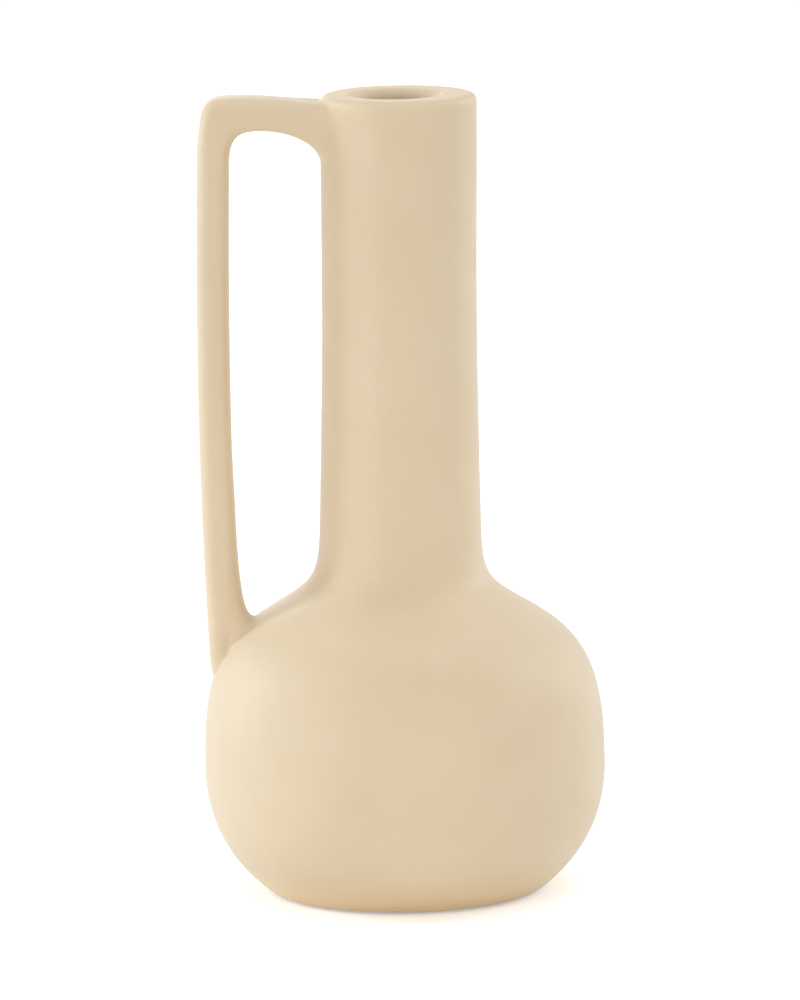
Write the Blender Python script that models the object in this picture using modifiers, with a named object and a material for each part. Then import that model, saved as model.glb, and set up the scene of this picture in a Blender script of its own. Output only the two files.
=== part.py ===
"""Handled stoneware bottle vase: a round bowl, a long neck and one square-shouldered strap handle.

The vase stands on z = 0 with its axis on Z and its handle towards -X. All sizes are in metres.
Each clay member is its own solid, with a slip gap to the members that it is luted to.
"""

import math

import bmesh
import bpy
from mathutils import Vector

# Overall
HEIGHT = 0.3000
SLIP_GAP = 0.0003

# Bowl
BOWL_RADIUS = 0.0751
BOWL_WIDEST_Z = 0.0475
BOWL_WALL = 0.0060
BOWL_FLOOR = 0.0080
BELLY_FULLNESS = 0.86
BASE_RADIUS = 0.0514
BASE_EDGE_RADIUS = 0.0020
BASE_LIFT = 0.0010
BASE_RECESS = 0.0010
SHOULDER_RADIUS = 0.0469
SHOULDER_Z = 0.1082
SHOULDER_SLOPE_DEGREES = 31.0
SHOULDER_FULLNESS = 0.76

# Neck
NECK_RADIUS = 0.0291
NECK_WALL = 0.0049
NECK_FLARE = 0.0014
ROOT_RISE = 0.0360
ROOT_FULLNESS = 0.98

# Joint between bowl and neck, and between neck and lip
COLLAR_DEPTH = 0.0016
COIL_EDGE = 0.0010
SPIGOT_STEP = 0.0021
SPIGOT_LENGTH = 0.0050

# Lip
LIP_HEIGHT = 0.0120
LIP_WIDTH = 0.0117
LIP_EDGE_RADIUS = 0.0028
MOUTH_EDGE_RADIUS = 0.0020
MOUTH_LENGTH = 0.0065

# Foot ring
FOOT_INSET = 0.0054
FOOT_WIDTH = 0.0080
FOOT_HEIGHT = 0.0040
FOOT_CHAMFER = 0.0007

# Handle
HANDLE_THICKNESS = 0.0124
HANDLE_DEPTH = 0.0200
HANDLE_EDGE_RADIUS = 0.0038
LEG_BOW = 0.0026
ARM_DROP = 0.0018
CORNER_OUTER_RADIUS = 0.0080
CORNER_INNER_RADIUS = 0.0065
ROOT_OVERLAP = 0.0080

# Luting of the handle
TOP_FILLET_REACH = 0.0200
TOP_FILLET_DROP = 0.0125
TOP_FILLET_TIP = 0.0012
TOP_FILLET_INSET = 0.0015
TOP_FILLET_EDGE = 0.0004
FOOT_COIL_RADIUS = 0.0024
FOOT_COIL_OFFSET = 0.0009
FOOT_COIL_TAPER = 0.45

# Smoothness of the turned and swept shapes
SEGMENTS = 48
CURVE_STEPS = 8
CORNER_STEPS = 4
LEG_STEPS = 12
FACE_ANGLE_DEGREES = 35
MERGE_DISTANCE = 0.00001

GLAZE = (0.745, 0.610, 0.422, 1.0)
BARE_CLAY = (0.400, 0.290, 0.205, 1.0)


def clear_scene():
    for thing in list(bpy.data.objects):
        bpy.data.objects.remove(thing, do_unlink=True)


def make_collection(name):
    group = bpy.data.collections.new(name)
    bpy.context.scene.collection.children.link(group)
    return group


def make_material(name, colour, roughness):
    material = bpy.data.materials.new(name)
    material.use_nodes = True
    shader = material.node_tree.nodes["Principled BSDF"]
    shader.inputs["Base Color"].default_value = colour
    shader.inputs["Roughness"].default_value = roughness
    shader.inputs["Metallic"].default_value = 0.0
    return material


def arc(centre, radii, start_degrees, end_degrees, steps):
    """Points of a circular or elliptical arc in the XZ plane, both ends included."""
    points = []
    for step in range(steps + 1):
        angle = math.radians(start_degrees + (end_degrees - start_degrees) * step / steps)
        points.append((centre[0] + radii[0] * math.cos(angle), centre[1] + radii[1] * math.sin(angle)))
    return points


def bezier(start, start_handle, end_handle, end, steps):
    """Points of a cubic curve in the XZ plane, both ends included."""
    controls = (start, start_handle, end_handle, end)
    points = []
    for step in range(steps + 1):
        t = step / steps
        weights = ((1 - t) ** 3, 3 * t * (1 - t) ** 2, 3 * t * t * (1 - t), t ** 3)
        x = sum(weight * control[0] for weight, control in zip(weights, controls))
        z = sum(weight * control[1] for weight, control in zip(weights, controls))
        points.append((x, z))
    return points


def swept(start, start_way, end, end_way, fullness, steps):
    """A smooth curve that leaves its start and reaches its end along two straight lines.

    The lines cross at a corner. At a fullness of 1 the curve is drawn all the way into that corner.
    """
    start = Vector(start)
    end = Vector(end)
    start_way = Vector(start_way)
    end_way = Vector(end_way)
    corner = start + start_way * ((end - start).cross(end_way) / start_way.cross(end_way))
    return bezier(start, start.lerp(corner, fullness[0]), end.lerp(corner, fullness[1]), end, steps)


def rounded_corner(before, corner, after, radius):
    """The arc that rounds the corner between two straight runs."""
    middle = Vector(corner)
    back = (Vector(before) - middle).normalized()
    ahead = (Vector(after) - middle).normalized()
    half_angle = back.angle(ahead) / 2
    centre = middle + (back + ahead).normalized() * (radius / math.sin(half_angle))
    run = radius / math.tan(half_angle)
    first = middle + back * run - centre
    last = middle + ahead * run - centre
    points = []
    for step in range(CORNER_STEPS + 1):
        spoke = first.lerp(last, step / CORNER_STEPS).normalized() * radius
        points.append(tuple(centre + spoke))
    return points


def grown(points, distance):
    """An upward-running outline moved outwards, for a clearance, or inwards for a wall."""
    moved = []
    for index, point in enumerate(points):
        before = Vector(points[max(index - 1, 0)])
        after = Vector(points[min(index + 1, len(points) - 1)])
        along = (after - before).normalized()
        moved.append((point[0] + along.y * distance, point[1] - along.x * distance))
    return moved


# Places worked out from the driving dimensions
LIP_Z = HEIGHT - LIP_HEIGHT
NECK_ROOT_Z = SHOULDER_Z + ROOT_RISE
COLLAR_Z = SHOULDER_Z - COLLAR_DEPTH
BASE_UNDERSIDE_Z = BASE_LIFT + BASE_RECESS
FLOOR_Z = BASE_LIFT + BOWL_FLOOR
NECK_BORE_RADIUS = NECK_RADIUS - NECK_WALL
SPIGOT_RADIUS = NECK_RADIUS - SPIGOT_STEP
SOCKET_RADIUS = SPIGOT_RADIUS + SLIP_GAP
MOUTH_RADIUS = NECK_RADIUS - LIP_WIDTH
FOOT_RADIUS = BASE_RADIUS - FOOT_INSET
LEG_REACH = BOWL_RADIUS - HANDLE_THICKNESS / 2
SHOULDER_SLOPE = math.radians(SHOULDER_SLOPE_DEGREES)
SHOULDER_WAY = (-math.cos(SHOULDER_SLOPE), math.sin(SHOULDER_SLOPE))


def neck_radius_at(z):
    """Outer radius of the neck, which flares a little towards its root."""
    share = (LIP_Z - z) / (LIP_Z - NECK_ROOT_Z)
    return NECK_RADIUS + NECK_FLARE * share ** 3


def lower_belly():
    """The bowl's outer side, from its base up to its widest circle, as one arc with a rounded start."""
    rise = BOWL_WIDEST_Z - BASE_LIFT
    swell = BOWL_RADIUS - BASE_RADIUS
    radius = (swell * swell + rise * rise) / (2 * swell)
    low_angle = -math.degrees(math.asin(rise / radius))
    side = arc((BOWL_RADIUS - radius, BOWL_WIDEST_Z), (radius, radius), low_angle, 0, CURVE_STEPS)
    base = (0.0, BASE_LIFT)
    return rounded_corner(base, side[0], side[1], BASE_EDGE_RADIUS) + side[1:]


def upper_belly():
    """The bowl's outer side, from its widest circle to the top of its shoulder."""
    widest = (BOWL_RADIUS, BOWL_WIDEST_Z)
    shoulder = (SHOULDER_RADIUS, SHOULDER_Z)
    fullness = (BELLY_FULLNESS, SHOULDER_FULLNESS)
    return swept(widest, (0, 1), shoulder, SHOULDER_WAY, fullness, CURVE_STEPS + CORNER_STEPS)


def neck_root():
    """The hollow curve from the shoulder up into the neck's outer wall."""
    shoulder = (SHOULDER_RADIUS, SHOULDER_Z)
    top = (neck_radius_at(NECK_ROOT_Z), NECK_ROOT_Z)
    neck_way = (-3 * NECK_FLARE / (LIP_Z - NECK_ROOT_Z), 1)
    fullness = (ROOT_FULLNESS, ROOT_FULLNESS)
    return swept(shoulder, SHOULDER_WAY, top, neck_way, fullness, CURVE_STEPS + CORNER_STEPS)


def neck_side():
    """The neck's outer side from its root up to the lip."""
    heights = [NECK_ROOT_Z + (LIP_Z - NECK_ROOT_Z) * step / CURVE_STEPS for step in range(CURVE_STEPS + 1)]
    return [(neck_radius_at(z), z) for z in heights]


def lip_side():
    """The lip's outer side from the neck up and over its rounded edge."""
    centre = (NECK_RADIUS - LIP_EDGE_RADIUS, HEIGHT - LIP_EDGE_RADIUS)
    edge = arc(centre, (LIP_EDGE_RADIUS, LIP_EDGE_RADIUS), 0, 90, CORNER_STEPS)
    return [(NECK_RADIUS, LIP_Z)] + edge


def shoulder_height_at(radius):
    """Height of the vase's outer side above its widest circle, at a distance from the axis."""
    outline = upper_belly() + neck_root()[1:]
    for (outer_x, outer_z), (inner_x, inner_z) in zip(outline, outline[1:]):
        if inner_x <= radius:
            share = (outer_x - radius) / (outer_x - inner_x)
            return outer_z + (inner_z - outer_z) * share
    return NECK_ROOT_Z


def leg_x(z, side, growth):
    """Outer (side 1) or inner (side -1) face of the handle's leg, which bows out at mid-height."""
    foot_z = shoulder_height_at(LEG_REACH)
    lean = (2 * z - HEIGHT - foot_z) / (HEIGHT - foot_z)
    centre = LEG_REACH - LEG_BOW * lean * lean
    return -(centre + side * (HANDLE_THICKNESS / 2 + growth))


def arm_z(x, side, growth):
    """Top (side 1) or underside (side -1) of the handle's arm, which drops a little towards the neck."""
    slope = ARM_DROP / (LEG_REACH - NECK_RADIUS)
    centre = HEIGHT - HANDLE_THICKNESS / 2 - slope * (x + LEG_REACH)
    return centre + side * (HANDLE_THICKNESS / 2 + growth)


def handle_outline(growth):
    """The handle seen from the front: arm, rounded corner and leg, with both roots inside the vase."""
    arm_end = -(NECK_RADIUS - ROOT_OVERLAP)
    leg_end = BOWL_WIDEST_Z + ROOT_OVERLAP
    leg_span = HEIGHT - CORNER_OUTER_RADIUS - HANDLE_THICKNESS - leg_end
    heights = [leg_end + leg_span * step / LEG_STEPS for step in range(LEG_STEPS + 1)]
    rise = {1: [], -1: []}
    for side in (1, -1):
        leg = [(leg_x(z, side, growth), z) for z in heights]
        corner_z = arm_z(leg[-1][0], side, growth)
        corner = (leg_x(corner_z, side, growth), corner_z)
        end = (arm_end, arm_z(arm_end, side, growth))
        radius = CORNER_OUTER_RADIUS + growth if side == 1 else CORNER_INNER_RADIUS - growth
        rise[side] = leg + rounded_corner(leg[-1], corner, end, radius) + [end]
    return rise[1] + list(reversed(rise[-1]))


def link_object(name, group, data):
    thing = bpy.data.objects.new(name, data)
    group.objects.link(thing)
    return thing


def turned(name, group, profile, closed):
    """A profile in the XZ plane at +X, turned about Z. It runs up the inside and down the outside."""
    edges = [(index, index + 1) for index in range(len(profile) - 1)]
    if closed:
        edges.append((len(profile) - 1, 0))
    mesh = bpy.data.meshes.new(name)
    mesh.from_pydata([(x, 0.0, z) for x, z in profile], edges, [])
    thing = link_object(name, group, mesh)
    screw = thing.modifiers.new("Turn", "SCREW")
    screw.axis = "Z"
    screw.angle = math.radians(360)
    screw.steps = SEGMENTS
    screw.render_steps = SEGMENTS
    screw.use_merge_vertices = True
    screw.merge_threshold = MERGE_DISTANCE
    return thing


def mesh_of_curve(curve_object, group):
    """The welded mesh of a curve object, which takes the curve's place and name."""
    bpy.context.view_layer.update()
    graph = bpy.context.evaluated_depsgraph_get()
    mesh = bpy.data.meshes.new_from_object(curve_object.evaluated_get(graph))
    work = bmesh.new()
    work.from_mesh(mesh)
    bmesh.ops.remove_doubles(work, verts=work.verts, dist=MERGE_DISTANCE)
    bmesh.ops.recalc_face_normals(work, faces=work.faces)
    work.to_mesh(mesh)
    work.free()
    name = curve_object.name
    place = curve_object.matrix_world.copy()
    bpy.data.objects.remove(curve_object, do_unlink=True)
    thing = link_object(name, group, mesh)
    thing.matrix_world = place
    return thing


def slab(name, group, outline, depth, edge_radius):
    """A flat outline in the XZ plane given a depth along Y, with its long edges rounded."""
    curve = bpy.data.curves.new(name, "CURVE")
    curve.dimensions = "2D"
    curve.fill_mode = "BOTH"
    curve.extrude = depth / 2 - edge_radius
    curve.bevel_depth = edge_radius
    curve.bevel_resolution = 3
    curve.offset = -edge_radius
    spline = curve.splines.new("POLY")
    spline.points.add(len(outline) - 1)
    for point, (x, z) in zip(spline.points, outline):
        point.co = (x, z, 0.0, 1.0)
    spline.use_cyclic_u = True
    thing = link_object(name, group, curve)
    thing.rotation_euler = (math.radians(90), 0, 0)
    return mesh_of_curve(thing, group)


def rope(name, group, route, radius, end_share):
    """A rolled coil of clay along a route, with tapered ends."""
    curve = bpy.data.curves.new(name, "CURVE")
    curve.dimensions = "3D"
    curve.bevel_depth = radius
    curve.bevel_resolution = 3
    curve.use_fill_caps = True
    spline = curve.splines.new("POLY")
    spline.points.add(len(route) - 1)
    for index, (point, place) in enumerate(zip(spline.points, route)):
        point.co = (*place, 1.0)
        from_end = min(index, len(route) - 1 - index)
        point.radius = min(1.0, end_share + (1 - end_share) * from_end / CORNER_STEPS)
    thing = link_object(name, group, curve)
    return mesh_of_curve(thing, group)


def make_cutter(thing):
    thing.hide_render = True
    thing.display_type = "WIRE"
    return thing


def cut(thing, cutter):
    boolean = thing.modifiers.new("Cut " + cutter.name, "BOOLEAN")
    boolean.operation = "DIFFERENCE"
    boolean.solver = "EXACT"
    boolean.object = cutter


def vase_clearance(group):
    """The whole vase without its handle, solid and grown by the slip gap."""
    outline = lower_belly() + upper_belly()[1:] + neck_root()[1:] + neck_side()[1:] + lip_side()[1:]
    outside = list(reversed(grown(outline, SLIP_GAP)))
    profile = [(0.0, HEIGHT + SLIP_GAP)] + outside + [(0.0, outside[-1][1])]
    return make_cutter(turned("vase_clearance", group, profile, closed=False))


def handle_clearance(group):
    """The handle grown by the slip gap."""
    depth = HANDLE_DEPTH + 2 * SLIP_GAP
    radius = HANDLE_EDGE_RADIUS + SLIP_GAP
    return make_cutter(slab("handle_clearance", group, handle_outline(SLIP_GAP), depth, radius))


def bowl_body(group):
    """The thrown bowl, with a sunk collar for the neck on top and a groove underneath for the foot.

    Its inside follows every second point of its outside.
    """
    lower = lower_belly()
    upper = upper_belly()
    ceiling_z = COLLAR_Z - BOWL_WALL
    inner = grown(lower + upper[1:], -BOWL_WALL)[::2]
    wall = [point for point in inner if FLOOR_Z + BOWL_WALL < point[1] < ceiling_z]
    groove_outer = FOOT_RADIUS + SLIP_GAP
    groove_inner = FOOT_RADIUS - FOOT_WIDTH - SLIP_GAP
    groove_z = FOOT_HEIGHT + SLIP_GAP
    profile = [(0.0, FLOOR_Z), (wall[0][0] - BOWL_WALL, FLOOR_Z)]
    profile += wall
    profile += [(SOCKET_RADIUS, ceiling_z), (SOCKET_RADIUS, COLLAR_Z), (SHOULDER_RADIUS, COLLAR_Z)]
    profile += list(reversed(lower + upper[1:]))
    profile += [(groove_outer, BASE_LIFT), (groove_outer, groove_z), (groove_inner, groove_z)]
    profile += [(groove_inner, BASE_UNDERSIDE_Z), (0.0, BASE_UNDERSIDE_Z)]
    return turned("bowl_body", group, profile, closed=False)


def foot_ring(group):
    """The unglazed ring that the vase stands on, set in the groove under the bowl."""
    inner = FOOT_RADIUS - FOOT_WIDTH
    profile = [
        (inner, FOOT_CHAMFER),
        (inner, FOOT_HEIGHT),
        (FOOT_RADIUS, FOOT_HEIGHT),
        (FOOT_RADIUS, FOOT_CHAMFER),
        (FOOT_RADIUS - FOOT_CHAMFER, 0.0),
        (inner + FOOT_CHAMFER, 0.0),
    ]
    return turned("foot_ring", group, profile, closed=True)


def coil_bore_radius():
    """Inner radius of the joint coil, which wraps the sunk foot of the neck."""
    return neck_radius_at(NECK_ROOT_Z) - COIL_EDGE


def neck_tube(group):
    """The thrown neck, with a spigot down into the bowl and a rebate on top for the lip."""
    spigot_end = COLLAR_Z - SPIGOT_LENGTH
    seat = COLLAR_Z + SLIP_GAP
    rebate_z = LIP_Z - SPIGOT_LENGTH - SLIP_GAP
    sunk_radius = coil_bore_radius() - SLIP_GAP
    profile = [
        (NECK_BORE_RADIUS, spigot_end),
        (NECK_BORE_RADIUS, rebate_z),
        (SOCKET_RADIUS, rebate_z),
        (SOCKET_RADIUS, LIP_Z - SLIP_GAP),
        (NECK_RADIUS, LIP_Z - SLIP_GAP),
    ]
    profile += list(reversed(neck_side()))[1:]
    profile += [(sunk_radius, NECK_ROOT_Z), (sunk_radius, seat)]
    profile += [(SPIGOT_RADIUS, seat), (SPIGOT_RADIUS, spigot_end)]
    return turned("neck_tube", group, profile, closed=True)


def neck_joint_coil(group):
    """The coil of clay smoothed into the hollow between shoulder and neck."""
    bore = coil_bore_radius()
    seat = COLLAR_Z + SLIP_GAP
    edge_radius = SHOULDER_RADIUS - SLIP_GAP
    hollow = [point for point in reversed(neck_root()) if point[0] < edge_radius and point[1] < NECK_ROOT_Z]
    edge_z = hollow[-1][1]
    profile = [(bore, seat), (bore, NECK_ROOT_Z - SLIP_GAP), (bore + COIL_EDGE, NECK_ROOT_Z - SLIP_GAP)]
    profile += hollow
    profile += [(edge_radius, min(edge_z, SHOULDER_Z)), (edge_radius, seat)]
    return turned("neck_joint_coil", group, profile, closed=True)


def lip_ring(group):
    """The closed-in lip, with a short skirt down into the neck."""
    skirt_end = LIP_Z - SPIGOT_LENGTH
    throat_z = HEIGHT - MOUTH_LENGTH
    throat = bezier(
        (NECK_BORE_RADIUS, skirt_end),
        (NECK_BORE_RADIUS, LIP_Z),
        (MOUTH_RADIUS, LIP_Z),
        (MOUTH_RADIUS, throat_z),
        CURVE_STEPS,
    )
    edge_centre = (MOUTH_RADIUS + MOUTH_EDGE_RADIUS, HEIGHT - MOUTH_EDGE_RADIUS)
    edge = arc(edge_centre, (MOUTH_EDGE_RADIUS, MOUTH_EDGE_RADIUS), 180, 90, CORNER_STEPS)
    profile = throat + edge + list(reversed(lip_side()))
    profile += [(SPIGOT_RADIUS, LIP_Z), (SPIGOT_RADIUS, skirt_end)]
    return turned("lip_ring", group, profile, closed=True)


def handle(group, clearance):
    """The bent strap handle, cut to sit on the neck and on the bowl's shoulder."""
    bar = slab("handle", group, handle_outline(0.0), HANDLE_DEPTH, HANDLE_EDGE_RADIUS)
    cut(bar, clearance)
    return bar


def handle_top_coil(group, clearances):
    """The clay smoothed into the corner under the arm, where it meets the neck."""
    left = -(NECK_RADIUS + TOP_FILLET_REACH)
    wall = -(NECK_RADIUS + SLIP_GAP + TOP_FILLET_TIP)
    right = -(NECK_RADIUS - ROOT_OVERLAP)
    bottom = arm_z(wall, -1, SLIP_GAP) - TOP_FILLET_DROP
    hollow_top = arm_z(left, -1, SLIP_GAP) - TOP_FILLET_TIP
    hollow = arc((left, bottom), (wall - left, hollow_top - bottom), 0, 90, CURVE_STEPS)
    outline = [(left, arm_z(left, 0, 0.0)), (right, arm_z(right, 0, 0.0)), (right, bottom)]
    depth = HANDLE_DEPTH - 2 * TOP_FILLET_INSET
    coil = slab("handle_top_coil", group, outline + hollow, depth, TOP_FILLET_EDGE)
    for clearance in clearances:
        cut(coil, clearance)
    return coil


def foot_coil_route():
    """A route round the front, inside and back of the handle's foot, lying on the bowl's shoulder."""
    half_depth = HANDLE_DEPTH / 2 + FOOT_COIL_OFFSET
    foot_z = shoulder_height_at(LEG_REACH - HANDLE_THICKNESS / 2)
    inside = -leg_x(foot_z, -1, FOOT_COIL_OFFSET)
    outside = LEG_REACH + HANDLE_THICKNESS / 4
    corner = HANDLE_EDGE_RADIUS + FOOT_COIL_OFFSET
    run = (inside + corner - outside) / CORNER_STEPS
    front = [(outside + run * step, half_depth) for step in range(CORNER_STEPS)]
    bend = arc((inside + corner, half_depth - corner), (corner, corner), 90, 180, CORNER_STEPS)
    half = front + bend
    plan = [(x, -y) for x, y in half] + [(x, y) for x, y in reversed(half)]
    return [(-x, y, shoulder_height_at(math.hypot(x, y)) + FOOT_COIL_OFFSET) for x, y in plan]


def handle_foot_coil(group, clearances):
    """A thin coil of clay pressed into the corner where the leg stands on the shoulder."""
    coil = rope("handle_foot_coil", group, foot_coil_route(), FOOT_COIL_RADIUS, FOOT_COIL_TAPER)
    for clearance in clearances:
        cut(coil, clearance)
    return coil


def main():
    clear_scene()
    parts = make_collection("handled_stoneware_vase")
    cutters = make_collection("cutters")
    glaze = make_material("matt_cream_glaze", GLAZE, 0.55)
    bare_clay = make_material("bare_fired_clay", BARE_CLAY, 0.85)
    vase_room = vase_clearance(cutters)
    handle_room = handle_clearance(cutters)
    glazed = [
        bowl_body(parts),
        neck_tube(parts),
        neck_joint_coil(parts),
        lip_ring(parts),
        handle(parts, vase_room),
        handle_top_coil(parts, [vase_room, handle_room]),
        handle_foot_coil(parts, [vase_room, handle_room]),
    ]
    ring = foot_ring(parts)
    origin = link_object("vase_origin", parts, None)
    for piece in glazed + [ring]:
        piece.parent = origin
        piece.data.materials.clear()
        piece.data.materials.append(bare_clay if piece is ring else glaze)
        piece.data.shade_smooth()
        if piece.data.polygons:
            piece.data.set_sharp_from_angle(angle=math.radians(FACE_ANGLE_DEGREES))


main()
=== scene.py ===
"""The looks of a handled stoneware bottle vase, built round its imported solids.

Sizes are in metres. The vase stands on z = 0 with its axis on Z and its handle towards -X.
"""
import math

import bmesh
import bpy
from mathutils import Matrix, Vector


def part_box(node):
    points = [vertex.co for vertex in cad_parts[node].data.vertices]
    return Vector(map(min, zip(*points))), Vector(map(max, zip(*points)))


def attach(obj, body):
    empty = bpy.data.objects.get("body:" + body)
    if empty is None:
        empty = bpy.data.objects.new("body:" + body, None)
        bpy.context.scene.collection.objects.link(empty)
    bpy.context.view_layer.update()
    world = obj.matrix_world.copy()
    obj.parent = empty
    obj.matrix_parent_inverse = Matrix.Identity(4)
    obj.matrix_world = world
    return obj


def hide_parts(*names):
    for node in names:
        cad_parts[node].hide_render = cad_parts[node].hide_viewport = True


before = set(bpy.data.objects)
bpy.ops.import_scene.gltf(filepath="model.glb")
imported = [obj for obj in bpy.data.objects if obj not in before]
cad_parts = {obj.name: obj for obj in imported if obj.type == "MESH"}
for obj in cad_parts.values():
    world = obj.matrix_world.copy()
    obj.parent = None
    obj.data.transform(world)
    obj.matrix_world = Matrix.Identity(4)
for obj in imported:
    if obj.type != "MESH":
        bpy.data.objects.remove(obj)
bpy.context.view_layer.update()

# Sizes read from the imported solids
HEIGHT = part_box("lip_ring")[1].z
NECK_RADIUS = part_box("lip_ring")[1].x
BOWL_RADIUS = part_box("bowl_body")[1].x
HANDLE_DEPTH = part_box("handle")[1].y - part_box("handle")[0].y
FOOT_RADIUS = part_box("foot_ring")[1].x
FOOT_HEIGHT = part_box("foot_ring")[1].z
BASE_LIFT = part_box("bowl_body")[0].z

# Bowl, where a fullness is how far a curve's start and end are drawn towards their common corner
BOWL_WIDEST_Z = 0.0475
BOWL_WALL = 0.0060
BOWL_FLOOR = 0.0080
FLOOR_BEND_PULL = 0.0020
BELLY_FULLNESS = 0.86
LOW_SIDE_FULLNESS = (0.72, 0.60)
BASE_RADIUS = 0.0517
BASE_EDGE_RADIUS = 0.0020
BASE_RECESS = 0.0010
SHOULDER_RADIUS = 0.0469
SHOULDER_Z = 0.1082
SHOULDER_SLOPE_DEGREES = 31.0
SHOULDER_FULLNESS = 0.76
FOOT_WIDTH = 0.0080
FOOT_EDGE_RADIUS = 0.0008

# Neck and lip, whose mouth sits a little off centre towards the handle
NECK_WALL = 0.0049
NECK_FLARE = 0.00095
NECK_FLARE_POWER = 3
NECK_WAIST = 0.00033
ROOT_RISE = 0.0360
ROOT_FULLNESS = (0.98, 0.94)
COLLAR_DEPTH = 0.0016
COIL_EDGE = 0.0010
SPIGOT_STEP = 0.0021
SPIGOT_LENGTH = 0.0050
NECK_TOP_DROP = 0.0120
LIP_HEIGHT = 0.0034
LIP_SKIRT_DROP = 0.0170
LIP_WIDTH = 0.0142
LIP_EDGE_RADIUS = 0.0028
MOUTH_EDGE_WIDTH = 0.0032
MOUTH_EDGE_DEPTH = 0.0060
MOUTH_LENGTH = 0.0065
MOUTH_SHIFT = 0.0011

# Lean of the hand-built neck, which fades out towards the bowl and towards the handle's leg
LEAN_SLOPE = 0.0097
LEAN_ZERO_Z = 0.1810
LEAN_START_Z = 0.0980
LEAN_FULL_Z = 0.1120
LEAN_START_X = -0.0600
LEAN_FULL_X = -0.0300

# Tilt of the shoulder, which fades out down the bowl, up the neck and before the handle's leg
TILT_SLOPE = 0.0070
TILT_START_Z = 0.0500
TILT_FULL_Z = 0.0900
TILT_FADE_Z = 0.1200
TILT_END_Z = 0.1440
TILT_START_X = -0.0680
TILT_FULL_X = -0.0540

# Finger groove at the neck's root, in front and behind
GROOVE_X = 0.0030
GROOVE_Z = 0.1140
GROOVE_DEPTH = 0.0036
GROOVE_WIDTH_ABOVE = 0.0062
GROOVE_WIDTH_BELOW = 0.0036
GROOVE_REACH = 0.0210

# Handle, where the arm drops by its bend times the square of its run
HANDLE_THICKNESS = 0.0121
HANDLE_EDGE_RADIUS = 0.0046
HANDLE_CROWN = 0.0003
LEG_BOW_TOP = 0.0019
LEG_BOW_FOOT = 0.0027
TOE_START_Z = 0.0880
TOE_IN = 0.0011
TOE_LENGTH = 0.0065
PINCH_START_Z = 0.1040
PINCH_LENGTH = 0.0200
PINCH = 0.20
SWELL_START_Z = 0.1700
SWELL_LENGTH = 0.0280
SWELL = 0.0004
ARM_TOP_GAP = 0.0001
CORNER_START_Z = 0.2817
CORNER_LEAN = 0.0021
CORNER_END_X = -0.0580
CORNER_FULLNESS = (0.98, 1.0)
INNER_CORNER_START_Z = 0.2720
INNER_CORNER_END_X = -0.0510
INNER_CORNER_FULLNESS = 0.78
ARM_END_X = -0.0460
ARM_TOP_BEND = 4.0
ARM_UNDERSIDE_Z = 0.2872
ARM_UNDERSIDE_BEND = 14.0

# Arm's root on the neck: its landing is a rounded rectangle on the neck's and lip's surface
ARM_LANDING_LOW_Z = 0.2738
ARM_LANDING_EDGE_DEGREES = 15.0
ARM_LANDING_SPREAD = 0.0070
ARM_LANDING_CORNER = 0.0060
ARM_START_PULL = 0.0100
ARM_LOW_PULL = 0.0060
ARM_SIDE_PULL = 0.0050
ARM_TOP_PULL = 0.0012

# Leg's root on the bowl: how far its hollow reaches up the leg and out over the bowl
LEG_RISE = {"inner": 0.0400, "side": 0.0016, "outer": 0.0030}
LEG_SPREAD = {"inner": 0.0096, "side": 0.0006, "outer": 0.0003}
LEG_START_FULLNESS = {"inner": 0.98, "side": 0.72, "outer": 0.72}
LEG_END_FULLNESS = {"inner": 0.68, "side": 0.72, "outer": 0.72}
LEG_SPREAD_DELAY = 3.0

# How finely the shapes are made
SEGMENTS = 192
PROFILE_STEPS = 56
EDGE_STEPS = 10
THROAT_STEPS = 20
HANDLE_CORNER_STEPS = 30
ARM_STEPS = 10
SECTION_LONG_STEPS = 10
SECTION_SHORT_STEPS = 6
SECTION_CORNER_STEPS = 8
LEG_STEPS = 60
ROOT_STEPS = 18
CREASE_ROUNDS = 40
CREASE_PACE = 0.4
LANDING_DIP = 0.00006
SHARP_ANGLE_DEGREES = 40

# Camera, as measured from the photograph, with its angles in radians and its lens in millimetres
VIEW_DISTANCE = 3.0
VIEW_TILT = 0.16829
VIEW_ROLL = 0.0147995
VIEW_TARGET = (-0.000438, 0.0, 0.14726)
VIEW_LENS = 289.06
VIEW_SENSOR = 36.0
VIEW_CLIP = (0.1, 60.0)

# Floor and background
WHITE = (1.0, 1.0, 1.0, 1.0)
WORLD_STRENGTH = 0.632
FLOOR_REACH = 20.0
FLOOR_COLOUR = (0.97, 0.97, 0.97, 1.0)
FLOOR_ROUGHNESS = 0.9
FLOOR_GLOW = 0.35

# Lamps: name, azimuth and elevation in degrees, size in metres, power in watts and colour
LAMP_DISTANCE = 2.6
PLAIN_LIGHT = (1.0, 1.0, 1.0)
COOL_LIGHT = (0.93, 1.0, 1.08)
COOLER_LIGHT = (0.88, 1.0, 1.13)
LAMPS = (
    ("lamp_left", -105, 15, (0.45, 1.2), 24.2, COOLER_LIGHT),
    ("lamp_left_back", -165, 9, (1.0, 0.8), 6.6, PLAIN_LIGHT),
    ("lamp_front_left", -45, 8, (0.6, 0.6), 10.8, PLAIN_LIGHT),
    ("lamp_front_right", 45, 12, (0.45, 0.45), 5.4, PLAIN_LIGHT),
    ("lamp_right_back", 120, 20, (0.9, 0.9), 11.2, COOL_LIGHT),
    ("lamp_right_top", 90, 75, (1.3, 1.3), 11.4, PLAIN_LIGHT),
)

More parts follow.
